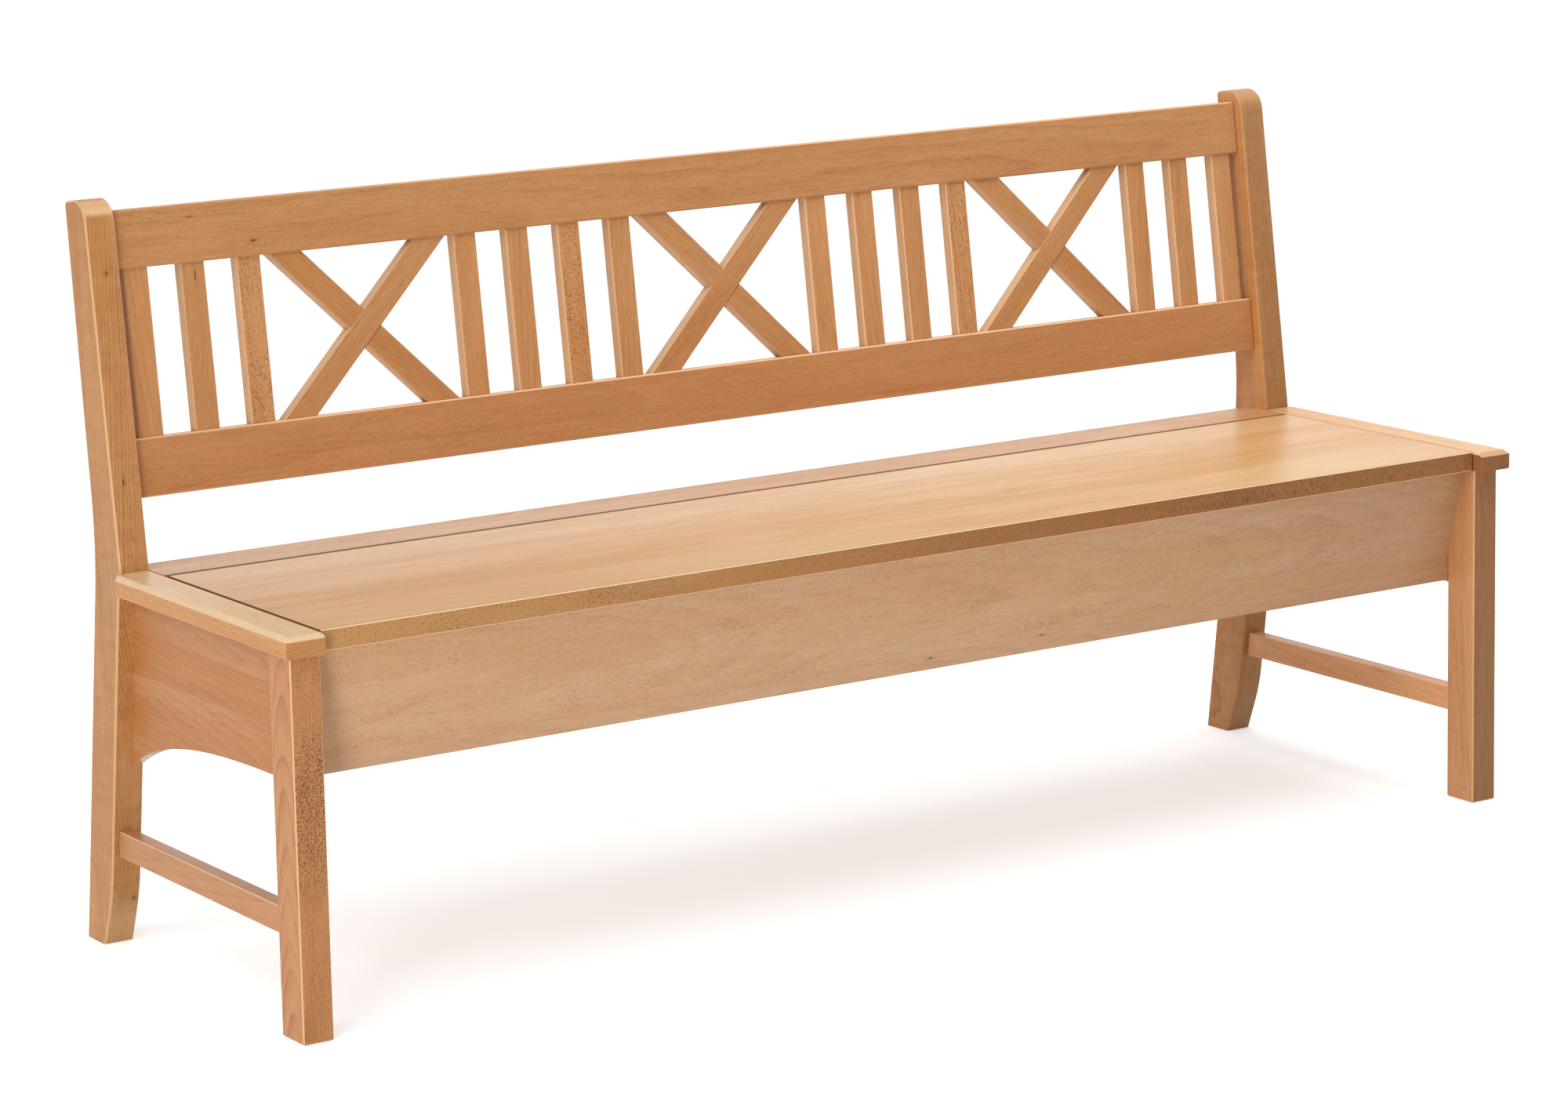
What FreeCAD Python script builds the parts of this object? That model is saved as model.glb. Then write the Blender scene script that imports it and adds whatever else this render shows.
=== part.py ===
import FreeCAD, Part
import math
import os

Vector = FreeCAD.Vector
os.makedirs("parts", exist_ok=True)

# A settle bench of solid beech: a long seat on four legs, a slatted backrest with three crosses
# and a shallow chest under a lid that is hung on three slim hinges. Millimetres, +Z up, the
# backrest toward +Y. Places are worked out from the front faces of the front legs, from the
# floor and from the middle of the length. The finished pieces are then moved back by half the
# depth, so that the origin is the middle of the footprint.

# Frame
frame_length = 1780.0       # over the outer faces of the legs and posts
seat_height = 470.0         # top of the caps, the lid and the back strip
leg_width = 39.0            # legs and posts, along the length
leg_depth = 51.0            # front legs, front to back
leg_ease = 2.5              # rounding of the long edges of the front legs
foot_chamfer = 1.5          # bottom edges of the front legs

# Rear posts
post_setback = 420.0        # leg front to post front, at seat height
post_rise = 442.0           # seat to post top, along the leaning front face
back_angle = 7.5            # lean of the post's front face and of the backrest, degrees
rear_lean = 6.0             # lean of the post's rear face above the seat, degrees
splay_angle = 8.0           # rearward splay of the post below the seat, degrees
seat_step = 8.5             # how far the post steps back behind the end of the cap
post_depth = 63.0           # post below the seat, front to back
rear_knee_height = 492.0    # where the two straight stretches of the rear face would meet
rear_knee_radius = 500.0
front_knee_radius = 20.0
kick_height = 66.0          # where the front face turns back toward the foot
kick_radius = 250.0
foot_depth = 46.5           # post on the floor, front to back
post_top_radius = 28.0      # front corner of the post's top
post_rear_radius = 6.0      # rear corner of the post's top
post_ease = 3.5             # rounding of the post's edges

# End caps
cap_thickness = 25.0
cap_end_overhang = 10.0     # beyond the outer face of the leg
cap_front_overhang = 13.0   # beyond the front face of the leg
cap_chamfer = 5.5           # top edge, outside and front
cap_inner_bevel = 3.0       # top edge, beside the lid
cap_under_round = 3.0       # bottom edge, outside
cap_clip = 7.0              # outer rear corner, cut back to the post

# Lid and back strip
lid_thickness = 24.7
lid_front_setback = 2.0     # behind the front face of the legs
lid_end_gap = 2.0           # between the lid and each cap
lid_rest_gap = 0.3          # between the lid and the top of the front panel
lid_ease = 1.5
strip_width = 77.0
strip_thickness = 25.0
hinge_edge_radius = 2.5     # top edges on both sides of the hinge line
hinge_line = 379.0          # leg front to the hinge pins
hinge_gap = 2.6             # between the lid and the strip
hinge_pin_drop = 2.0        # pins below the top of the seat

# Hinges
hinge_count = 3
hinge_end_inset = 370.0     # lid end to the middle of the first hinge
hinge_length = 60.0
hinge_knuckles = 3          # an odd number, so that the fixed leaf has both ends
knuckle_radius = 2.0
knuckle_clearance = 0.3     # to the wood, to the other leaf and from knuckle to knuckle
pin_radius = 1.0
pin_clearance = 0.06
leaf_thickness = 1.2
leaf_height = 20.0          # pin to lower edge
leaf_screw_count = 2        # on each leaf
leaf_screw_inset = 12.0     # hinge end to its first screw
leaf_screw_drop = 12.0      # pin to screw
screw_length = 16.0
screw_radius = 1.5
screw_head = 2.7
screw_sides = 10

# Battens under the lid, slid into dovetail grooves from its rear edge
lid_batten_count = 4
lid_batten_end_inset = 130.0    # lid end to the middle of the first batten
lid_batten_width = 44.0
lid_batten_height = 12.0    # below the lid
lid_batten_front = 60.0     # lid front to batten end
lid_batten_rear = 8.0       # lid rear to batten end
dovetail_depth = 9.0
dovetail_flare = 2.5        # on each side
dovetail_neck = 3.0         # shoulder between the batten's side and the neck
dovetail_clearance = 0.15

# Chest
panel_thickness = 16.0
front_panel_inset = 20.3    # leg front to panel face, under the lid
front_panel_lean = 14.0     # degrees, its bottom edge further back
front_panel_bottom = 290.0
back_panel_inset = 10.0     # post front to panel face
back_panel_bottom = 290.0
bottom_lift = 22.0          # front panel's lower edge to the underside of the bottom board
bottom_thickness = 9.0
bottom_gap = 1.0            # round the edges of the bottom board
cleat_size = 18.0
bottom_batten_width = 60.0
arch_front_height = 290.0   # lower edge of the side panel at the leg
arch_rear_height = 229.0    # and at the post
arch_front_pull = 200.0     # handles of the curve between them
arch_rear_pull = 90.0
arch_rear_lift = 51.0

# Side stretchers
stretcher_bottom = 113.5
stretcher_height = 32.5
stretcher_thickness = 20.0
stretcher_ease = 2.0

# Backrest
rail_height = 70.5
rail_thickness = 25.0
rail_inset = 14.0           # behind the front faces of the posts
lower_rail_rise = 84.5      # seat to the lower rail, along the post
slat_height = 200.5         # clear height between the rails
rail_ease = 2.0
rail_corner_radius = 4.0
slat_width = 32.0
slat_thickness = 17.0
slat_inset = 4.0            # behind the front faces of the rails
slat_ease = 1.5
end_slat_offset = 28.75     # post face to the middle of the first slat
cross_end_offset = 49.8     # middle of a slat to the middle of a cross bar's end
lap_clearance = 0.1
end_place = 11              # the end slats stand eleven places from the middle
slat_places = (-11, -10, -9, -5, -4, -3, -2, 2, 3, 4, 5, 9, 10, 11)
cross_places = (-7, 0, 7)
cross_half_places = 2       # places from the middle of a cross to the slats beside it

# Joinery
tenon_thickness = 10.0      # stretchers and rails
tenon_length = 20.0
tenon_shoulder = 6.0        # above and below
slat_tenon_thickness = 8.0
slat_tenon_length = 10.0
slat_tenon_shoulder = 4.0
mortise_clearance = 0.15
tongue_thickness = 8.0      # panels and back strip
tongue_length = 10.0
tongue_shoulder = 12.0      # above and below
panel_tenon_height = 18.0   # upper and lower tenon at each end of the front panel
cap_tenon_width = 15.0      # on top of the front leg
cap_tenon_depth = 27.0
cap_tenon_height = 12.0
cut_margin = 1.0            # how far a cutter reaches past the piece

# Levels, faces and planes that the pieces share
half_length = frame_length / 2.0
inner_face = half_length - leg_width
leg_middle = half_length - leg_width / 2.0
leg_top = seat_height - cap_thickness
pin_height = seat_height - hinge_pin_drop
lid_rear = hinge_line - hinge_gap / 2.0
strip_front = hinge_line + hinge_gap / 2.0
strip_rear = strip_front + strip_width
strip_bottom = seat_height - strip_thickness
lid_bottom = seat_height - lid_thickness
lid_half_length = inner_face - lid_end_gap
front_panel_top = lid_bottom - lid_rest_gap
bottom_height = front_panel_bottom + bottom_lift
cleat_bottom = bottom_height - cleat_size
lower_rail_top = lower_rail_rise + rail_height
top_rail_rise = lower_rail_top + slat_height
slat_pitch = (inner_face - end_slat_offset) / end_place
splay_slope = math.tan(math.radians(splay_angle))
panel_slope = math.tan(math.radians(front_panel_lean))


def post_front_at(z):
    """Front face of the post below the seat."""
    return post_setback + seat_step + splay_slope * (leg_top - z)


def post_rear_at(z):
    """Rear face of the post below the knee."""
    return post_front_at(z) + post_depth


def front_panel_face_at(z):
    """Outer face of the leaning front panel."""
    return front_panel_inset + panel_slope * (lid_bottom - z)


def front_panel_back_at(z):
    """Face of the front panel inside the chest."""
    return front_panel_face_at(z) + panel_thickness / math.cos(math.radians(front_panel_lean))


def back_panel_face_at(z):
    """Face of the back panel inside the chest."""
    return post_front_at(z) + back_panel_inset


def back_panel_middle_at(z):
    """Middle plane of the back panel, which leans like the posts."""
    return back_panel_face_at(z) + panel_thickness / 2.0 / math.cos(math.radians(splay_angle))


footprint_middle = (post_rear_at(0.0) - cap_front_overhang) / 2.0


def corner_arc(before, corner, after, radius):
    """Start, middle and end of the arc that rounds one corner of an outline."""
    toward_before = (before - corner).normalize()
    toward_after = (after - corner).normalize()
    half_angle = toward_before.getAngle(toward_after) / 2.0
    reach = radius / math.tan(half_angle)
    inward = (toward_before + toward_after).normalize()
    centre = corner + inward * (radius / math.sin(half_angle))
    start = corner + toward_before * reach
    end = corner + toward_after * reach
    return start, centre - inward * radius, end


def rounded_wire(corners, radii):
    """Closed outline through corners, each rounded to its own radius."""
    count = len(corners)
    turns = []
    for i in range(count):
        if radii[i] > 0.0:
            turns.append(corner_arc(corners[i - 1], corners[i], corners[(i + 1) % count], radii[i]))
        else:
            turns.append((corners[i], None, corners[i]))
    edges = []
    for i in range(count):
        start, middle, end = turns[i]
        if middle is not None:
            edges.append(Part.Arc(start, middle, end).toShape())
        edges.append(Part.LineSegment(end, turns[(i + 1) % count][0]).toShape())
    return Part.Wire(edges)


def box(x0, x1, y0, y1, z0, z1):
    """Block between two corners."""
    return Part.makeBox(x1 - x0, y1 - y0, z1 - z0, Vector(x0, y0, z0))


def prism_x(outline, x0, x1):
    """Outline of (y, z) points, drawn along X."""
    corners = [Vector(x0, y, z) for y, z in outline]
    face = Part.Face(Part.makePolygon(corners + corners[:1]))
    return face.extrude(Vector(x1 - x0, 0, 0))


def prism_y(outline, y0, y1):
    """Outline of (x, z) points, drawn along Y."""
    corners = [Vector(x, y0, z) for x, z in outline]
    face = Part.Face(Part.makePolygon(corners + corners[:1]))
    return face.extrude(Vector(0, y1 - y0, 0))


def mirrored(shape):
    """The same piece for the other end of the bench."""
    return shape.mirror(Vector(0, 0, 0), Vector(1, 0, 0))


def straight_edges(edges, direction):
    """Those of some edges that are straight and run along a direction."""
    found = []
    for edge in edges:
        run = edge.Vertexes[-1].Point - edge.Vertexes[0].Point
        straight = edge.Curve.TypeId == "Part::GeomLine"
        if straight and run.cross(direction).Length < 1e-6 * run.Length:
            found.append(edge)
    return found


def edges_on_plane(shape, origin, normal):
    """Edges that lie in a plane."""
    found = []
    for edge in shape.Edges:
        middle = edge.valueAt((edge.FirstParameter + edge.LastParameter) / 2.0)
        points = [vertex.Point for vertex in edge.Vertexes] + [middle]
        if all(abs((point - origin).dot(normal)) < 1e-6 for point in points):
            found.append(edge)
    return found


def shared_edges(first, second):
    """Edges that are in both lists."""
    return [edge for edge in first if any(edge.isSame(other) for other in second)]


def cut_all(shape, tools):
    """One piece less some others."""
    for tool in tools:
        shape = shape.cut(tool)
    return shape


def fuse_all(shape, additions):
    """One piece with what is part of it, such as its tenons."""
    for addition in additions:
        shape = shape.fuse(addition)
    return shape.removeSplitter()


def both_ends(right):
    """Shapes for the right end and, mirrored, for the left."""
    return list(right) + [mirrored(shape) for shape in right]


def spread_places(count, spread):
    """Places at even steps, symmetric about the middle."""
    if count < 2:
        return [0.0]
    return [spread * (i / (count - 1.0) - 0.5) for i in range(count)]


along_x = Vector(1, 0, 0)
along_y = Vector(0, 1, 0)
along_z = Vector(0, 0, 1)


def leg_tenon(low, high, length, x0, x1):
    """Tenon that runs forward into the rear face of the front leg."""
    return box(x0, x1, leg_depth - length, leg_depth, low, high)


def post_tenon(low, high, length, x0, x1):
    """Tenon that runs back into the slanted front face of the post."""
    front_low = post_front_at(low)
    front_high = post_front_at(high)
    outline = (front_low, low), (front_low + length, low), (front_high + length, high), (front_high, high)
    return prism_x(outline, x0, x1)


def leaning_tongue(face_at, lean, low, high, clearance):
    """Tongue on the right end of a leaning panel, or its mortise when a clearance is given."""
    start = (panel_thickness - tongue_thickness) / 2.0 - clearance
    stop = (panel_thickness + tongue_thickness) / 2.0 + clearance
    scale = 1.0 / math.cos(math.radians(lean))
    low = low - clearance
    high = high + clearance
    outline = (
        (face_at(low) + start * scale, low),
        (face_at(low) + stop * scale, low),
        (face_at(high) + stop * scale, high),
        (face_at(high) + start * scale, high),
    )
    return prism_x(outline, inner_face, inner_face + tongue_length + clearance)


def front_panel_tongues(clearance):
    """Right tongues of the front panel: the upper one in the leg, the lower one in the side panel."""
    high = leg_top - tongue_shoulder
    low = front_panel_bottom + tongue_shoulder
    upper = leaning_tongue(front_panel_face_at, front_panel_lean, high - panel_tenon_height, high, clearance)
    lower = leaning_tongue(front_panel_face_at, front_panel_lean, low, low + panel_tenon_height, clearance)
    return upper, lower


def back_panel_tongue(clearance):
    """Right tongue of the back panel, in the post."""
    low = back_panel_bottom + tongue_shoulder
    high = strip_bottom - tongue_shoulder
    return leaning_tongue(back_panel_face_at, splay_angle, low, high, clearance)


def side_panel_tongues(clearance):
    """Tongues of the right side panel, in the leg, in the post and in the cap."""
    x0 = inner_face + (panel_thickness - tongue_thickness) / 2.0 - clearance
    x1 = x0 + tongue_thickness + 2.0 * clearance
    length = tongue_length + clearance
    low = arch_front_height + tongue_shoulder - clearance
    high = leg_top - tongue_shoulder + clearance
    front = leg_depth + tongue_shoulder - clearance
    rear = post_front_at(leg_top) - tongue_shoulder + clearance
    lead = leg_tenon(low, high, length, x0, x1)
    trail = post_tenon(low, high, length, x0, x1)
    crest = box(x0, x1, front, rear, leg_top, leg_top + length)
    return lead, trail, crest


def leg_top_tenon(clearance):
    """Stub tenon on top of the right leg, in the cap."""
    x0 = leg_middle - cap_tenon_width / 2.0 + tongue_shoulder / 2.0 - clearance
    x1 = x0 + cap_tenon_width + 2.0 * clearance
    y0 = (leg_depth - cap_tenon_depth) / 2.0 - clearance
    y1 = (leg_depth + cap_tenon_depth) / 2.0 + clearance
    return box(x0, x1, y0, y1, leg_top, leg_top + cap_tenon_height + clearance)


def strip_tenon(clearance):
    """Right tenon of the back strip, in the post."""
    middle = (strip_bottom + seat_height) / 2.0
    z0 = middle - tongue_thickness / 2.0 - clearance
    z1 = middle + tongue_thickness / 2.0 + clearance
    y0 = post_front_at(leg_top) + tongue_thickness - clearance
    y1 = strip_rear - tongue_thickness + clearance
    return box(inner_face, inner_face + tongue_length + clearance, y0, y1, z0, z1)


def strip_tongue(clearance):
    """Long tongue on top of the back panel, in the strip."""
    middle = back_panel_middle_at(strip_bottom)
    y0 = middle - tongue_thickness / 2.0 - clearance
    y1 = middle + tongue_thickness / 2.0 + clearance
    half = inner_face - tongue_shoulder + clearance
    return box(-half, half, y0, y1, strip_bottom, strip_bottom + tongue_length + clearance)


def front_leg():
    """Right front leg: straight, with eased edges and a chamfered foot."""
    leg = box(inner_face, half_length, 0.0, leg_depth, 0.0, leg_top)
    leg = leg.makeFillet(leg_ease, straight_edges(leg.Edges, along_z))
    leg = leg.makeChamfer(foot_chamfer, edges_on_plane(leg, Vector(0, 0, 0), along_z))
    mortises = stretcher_tenons(mortise_clearance)[:1]
    mortises += side_panel_tongues(mortise_clearance)[:1]
    mortises += front_panel_tongues(mortise_clearance)[:1]
    return cut_all(leg, mortises).fuse(leg_top_tenon(0.0)).removeSplitter()


def post_outline(x):
    """Sawn outline of the rear post: foot, kick, splay, seat step, lean, rounded top, knee."""
    lean = math.radians(back_angle)
    up = Vector(0, math.sin(lean), math.cos(lean))
    seat_corner = Vector(x, post_setback, seat_height)
    knee = Vector(x, post_rear_at(rear_knee_height), rear_knee_height)
    rear_up = Vector(0, math.sin(math.radians(rear_lean)), math.cos(math.radians(rear_lean)))
    top_front = seat_corner + up * post_rise
    climb = (top_front - knee).dot(up) / rear_up.dot(up)
    top_rear = knee + rear_up * climb
    corners = [
        Vector(x, post_rear_at(0.0) - foot_depth, 0.0),
        Vector(x, post_front_at(kick_height), kick_height),
        Vector(x, post_front_at(leg_top), leg_top),
        seat_corner,
        top_front,
        top_rear,
        knee,
        Vector(x, post_rear_at(0.0), 0.0),
    ]
    radii = [0.0, kick_radius, front_knee_radius, front_knee_radius]
    radii += [post_top_radius, post_rear_radius, rear_knee_radius, 0.0]
    return rounded_wire(corners, radii)


def post_blank(x0, x1):
    """The post's outline drawn along X, its edges still square."""
    return Part.Face(post_outline(x0)).extrude(Vector(x1 - x0, 0, 0))


def rear_post():
    """Right rear post, sawn from one board, with its edges rounded over."""
    post = post_blank(inner_face, half_length)
    inner_edges = edges_on_plane(post, Vector(inner_face, 0, 0), along_x)
    outer_edges = edges_on_plane(post, Vector(half_length, 0, 0), along_x)
    floor_edges = edges_on_plane(post, Vector(0, 0, 0), along_z)
    rounded = [edge for edge in inner_edges + outer_edges if not shared_edges([edge], floor_edges)]
    post = post.makeFillet(post_ease, rounded)
    mortises = [lean_back(rail_tenon(rise, mortise_clearance)) for rise in (lower_rail_rise, top_rail_rise)]
    mortises += stretcher_tenons(mortise_clearance)[1:]
    mortises += side_panel_tongues(mortise_clearance)[1:2]
    mortises.append(back_panel_tongue(mortise_clearance))
    mortises.append(strip_tenon(mortise_clearance))
    return cut_all(post, mortises)


def side_panel():
    """Right side panel: its lower edge sweeps down from the leg to the post."""
    x = inner_face
    top_front = Vector(x, leg_depth, leg_top)
    top_rear = Vector(x, post_front_at(leg_top), leg_top)
    low_rear = Vector(x, post_front_at(arch_rear_height), arch_rear_height)
    low_front = Vector(x, leg_depth, arch_front_height)
    sweep = Part.BezierCurve()
    rear_handle = low_rear + Vector(0, -arch_rear_pull, arch_rear_lift)
    front_handle = low_front + Vector(0, arch_front_pull, 0)
    sweep.setPoles([low_rear, rear_handle, front_handle, low_front])
    edges = [
        Part.LineSegment(top_front, top_rear).toShape(),
        Part.LineSegment(top_rear, low_rear).toShape(),
        sweep.toShape(),
        Part.LineSegment(low_front, top_front).toShape(),
    ]
    panel = Part.Face(Part.Wire(edges)).extrude(Vector(panel_thickness, 0, 0))
    panel = panel.cut(post_blank(inner_face - cut_margin, half_length + cut_margin))
    panel = cut_all(panel, front_panel_tongues(mortise_clearance)[1:])
    return fuse_all(panel, side_panel_tongues(0.0))


def stretcher_tenons(clearance):
    """Front and rear tenon of the right stretcher, or their mortises when a clearance is given."""
    x0 = leg_middle - tenon_thickness / 2.0 - clearance
    x1 = leg_middle + tenon_thickness / 2.0 + clearance
    low = stretcher_bottom + tenon_shoulder - clearance
    high = stretcher_bottom + stretcher_height - tenon_shoulder + clearance
    length = tenon_length + clearance
    return [leg_tenon(low, high, length, x0, x1), post_tenon(low, high, length, x0, x1)]


def side_stretcher():
    """Right stretcher between the leg and the post, tenoned into both."""
    low = stretcher_bottom
    high = stretcher_bottom + stretcher_height
    outline = (leg_depth, low), (post_front_at(low), low), (post_front_at(high), high), (leg_depth, high)
    x0 = leg_middle - stretcher_thickness / 2.0
    bar = prism_x(outline, x0, x0 + stretcher_thickness)
    bar = bar.makeFillet(stretcher_ease, straight_edges(bar.Edges, along_y))
    return fuse_all(bar, stretcher_tenons(0.0))


def end_cap():
    """Right end cap over the leg and side panel, scribed to the post."""
    outer = half_length + cap_end_overhang
    front = -cap_front_overhang
    rear = post_setback
    plan = [
        Vector(inner_face, front, leg_top),
        Vector(outer, front, leg_top),
        Vector(outer, rear - cap_clip, leg_top),
        Vector(half_length, rear + post_ease, leg_top),
        Vector(half_length, rear + post_depth, leg_top),
        Vector(inner_face, rear + post_depth, leg_top),
    ]
    cap = Part.Face(Part.makePolygon(plan + plan[:1])).extrude(Vector(0, 0, cap_thickness))
    top = edges_on_plane(cap, Vector(0, 0, seat_height), along_z)
    outer_top = shared_edges(top, edges_on_plane(cap, Vector(outer, 0, 0), along_x))
    front_top = shared_edges(top, edges_on_plane(cap, Vector(0, front, 0), along_y))
    cap = cap.makeChamfer(cap_chamfer, outer_top + front_top)
    top = edges_on_plane(cap, Vector(0, 0, seat_height), along_z)
    inner_top = shared_edges(top, edges_on_plane(cap, Vector(inner_face, 0, 0), along_x))
    cap = cap.makeChamfer(cap_inner_bevel, inner_top)
    bottom = edges_on_plane(cap, Vector(0, 0, leg_top), along_z)
    outer_bottom = shared_edges(bottom, edges_on_plane(cap, Vector(outer, 0, 0), along_x))
    cap = cap.makeFillet(cap_under_round, outer_bottom)
    cap = cap.cut(post_blank(inner_face - cut_margin, half_length + cut_margin))
    return cut_all(cap, [leg_top_tenon(mortise_clearance), side_panel_tongues(mortise_clearance)[2]])


def front_panel():
    """Leaning front panel: level on top under the lid, square at its lower edge."""
    lean = math.radians(front_panel_lean)
    low = front_panel_bottom
    inside_low = low + panel_thickness * math.sin(lean)
    outline = (
        (front_panel_face_at(front_panel_top), front_panel_top),
        (front_panel_face_at(low), low),
        (front_panel_back_at(inside_low), inside_low),
        (front_panel_back_at(front_panel_top), front_panel_top),
    )
    panel = prism_x(outline, -inner_face, inner_face)
    return fuse_all(panel, both_ends(front_panel_tongues(0.0)))


def back_panel():
    """Back panel, leaning like the posts that it is dowelled to."""
    thickness = panel_thickness / math.cos(math.radians(splay_angle))
    top_face = back_panel_face_at(strip_bottom)
    low_face = back_panel_face_at(back_panel_bottom)
    outline = (
        (top_face, strip_bottom),
        (low_face, back_panel_bottom),
        (low_face + thickness, back_panel_bottom),
        (top_face + thickness, strip_bottom),
    )
    panel = prism_x(outline, -inner_face, inner_face)
    return fuse_all(panel, both_ends([back_panel_tongue(0.0)]) + [strip_tongue(0.0)])


def front_cleat_rear():
    """Rear face of the front cleat."""
    return front_panel_back_at(bottom_height) + cleat_size


def back_cleat_front():
    """Front face of the back cleat."""
    return back_panel_face_at(bottom_height) - cleat_size


def front_cleat():
    """Cleat along the front panel, planed to its lean."""
    outline = (
        (front_panel_back_at(cleat_bottom), cleat_bottom),
        (front_cleat_rear(), cleat_bottom),
        (front_cleat_rear(), bottom_height),
        (front_panel_back_at(bottom_height), bottom_height),
    )
    return prism_x(outline, -inner_face, inner_face)


def back_cleat():
    """Cleat along the back panel, planed to its lean."""
    outline = (
        (back_cleat_front(), cleat_bottom),
        (back_panel_face_at(cleat_bottom), cleat_bottom),
        (back_panel_face_at(bottom_height), bottom_height),
        (back_cleat_front(), bottom_height),
    )
    return prism_x(outline, -inner_face, inner_face)


def side_cleat():
    """Right cleat, on the side panel between the long cleats."""
    x0 = inner_face - cleat_size
    return box(x0, inner_face, front_cleat_rear(), back_cleat_front(), cleat_bottom, bottom_height)


def bottom_batten():
    """Batten across the middle, under the bottom board."""
    half = bottom_batten_width / 2.0
    return box(-half, half, front_cleat_rear(), back_cleat_front(), cleat_bottom, bottom_height)


def chest_bottom():
    """Bottom board, lying on the cleats."""
    top = bottom_height + bottom_thickness
    outline = (
        (front_panel_back_at(bottom_height) + bottom_gap, bottom_height),
        (back_panel_face_at(bottom_height) - bottom_gap, bottom_height),
        (back_panel_face_at(top) - bottom_gap, top),
        (front_panel_back_at(top) + bottom_gap, top),
    )
    return prism_x(outline, bottom_gap - inner_face, inner_face - bottom_gap)


def back_strip():
    """Fixed strip behind the lid: tenoned into the posts and grooved over the back panel."""
    strip = box(-inner_face, inner_face, strip_front, strip_rear, strip_bottom, seat_height)
    top = edges_on_plane(strip, Vector(0, 0, seat_height), along_z)
    hinge_side = shared_edges(top, edges_on_plane(strip, Vector(0, strip_front, 0), along_y))
    strip = strip.makeFillet(hinge_edge_radius, hinge_side)
    strip = fuse_all(strip, both_ends([strip_tenon(0.0)]))
    return cut_all(strip, [strip_tongue(mortise_clearance)] + knuckle_recesses() + leaf_screws(1))


def seat_lid():
    """The lid: one glued-up board, rounded beside the hinges and eased on its front edges."""
    lid = box(-lid_half_length, lid_half_length, lid_front_setback, lid_rear, lid_bottom, seat_height)
    top = edges_on_plane(lid, Vector(0, 0, seat_height), along_z)
    hinge_side = shared_edges(top, edges_on_plane(lid, Vector(0, lid_rear, 0), along_y))
    lid = lid.makeFillet(hinge_edge_radius, hinge_side)
    front = edges_on_plane(lid, Vector(0, lid_front_setback, 0), along_y)
    lid = lid.makeFillet(lid_ease, straight_edges(front, along_x))
    grooves = [batten_groove(x) for x in lid_batten_places()]
    return cut_all(lid, grooves + knuckle_recesses() + leaf_screws(-1))


def lid_batten_places():
    """Middles of the battens along the length."""
    return spread_places(lid_batten_count, 2.0 * (lid_half_length - lid_batten_end_inset))


def dovetail_outline(x, clearance):
    """Section of a batten's dovetail, from the underside of the lid up."""
    neck = lid_batten_width / 2.0 - dovetail_neck - dovetail_flare + clearance
    crest = neck + dovetail_flare
    top = lid_bottom + dovetail_depth + clearance
    return (x - neck, lid_bottom), (x + neck, lid_bottom), (x + crest, top), (x - crest, top)


def batten_groove(x):
    """Dovetail groove for one batten, open at the rear edge of the lid."""
    front = lid_front_setback + lid_batten_front - dovetail_clearance
    return prism_y(dovetail_outline(x, dovetail_clearance), front, lid_rear)


def lid_batten(x):
    """One batten across the underside of the lid, with its dovetail."""
    y0 = lid_front_setback + lid_batten_front
    y1 = lid_rear - lid_batten_rear
    half = lid_batten_width / 2.0
    batten = box(x - half, x + half, y0, y1, lid_bottom - lid_batten_height, lid_bottom)
    low = edges_on_plane(batten, Vector(0, 0, lid_bottom - lid_batten_height), along_z)
    batten = batten.makeChamfer(lid_ease, low)
    return batten.fuse(prism_y(dovetail_outline(x, 0.0), y0, y1)).removeSplitter()


def hinge_places():
    """Middles of the hinges along the length."""
    return spread_places(hinge_count, 2.0 * (lid_half_length - hinge_end_inset))


def knuckle_recesses():
    """Room for the knuckles in the edges of the lid and of the strip."""
    length = hinge_length + 2.0 * knuckle_clearance
    radius = knuckle_radius + knuckle_clearance
    starts = [Vector(x - length / 2.0, hinge_line, pin_height) for x in hinge_places()]
    return [Part.makeCylinder(radius, length, start, along_x) for start in starts]


def hinge_leaf(x, side):
    """Leaf of the hinge at x: side -1 goes with the lid, side 1 with the strip."""
    inner = hinge_gap / 2.0 - leaf_thickness
    y0 = hinge_line + min(side * inner, side * (inner + leaf_thickness))
    y1 = y0 + leaf_thickness
    start = x - hinge_length / 2.0
    pitch = hinge_length / hinge_knuckles
    plate_top = pin_height - knuckle_radius - knuckle_clearance
    leaf = box(start, start + hinge_length, y0, y1, pin_height - leaf_height, plate_top)
    first = 0 if side > 0 else 1
    for i in range(first, hinge_knuckles, 2):
        x0 = start + i * pitch + knuckle_clearance / 2.0
        x1 = start + (i + 1) * pitch - knuckle_clearance / 2.0
        knuckle = Part.makeCylinder(knuckle_radius, x1 - x0, Vector(x0, hinge_line, pin_height), along_x)
        leaf = leaf.fuse(box(x0, x1, y0, y1, plate_top, pin_height)).fuse(knuckle)
    bore_start = Vector(start - cut_margin, hinge_line, pin_height)
    bore_length = hinge_length + 2.0 * cut_margin
    bore = Part.makeCylinder(pin_radius + pin_clearance, bore_length, bore_start, along_x)
    return cut_all(leaf, [bore] + leaf_screws(side)).removeSplitter()


def hinge_pin(x):
    """Pin through the knuckles of the hinge at x."""
    start = Vector(x - hinge_length / 2.0, hinge_line, pin_height)
    return Part.makeCylinder(pin_radius, hinge_length, start, along_x)


def ring(centre, radius):
    """Corners of a regular polygon about a point, square to Y."""
    turns = [2.0 * math.pi * i / screw_sides for i in range(screw_sides)]
    return [centre + Vector(math.cos(turn), 0, math.sin(turn)) * radius for turn in turns]


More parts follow.
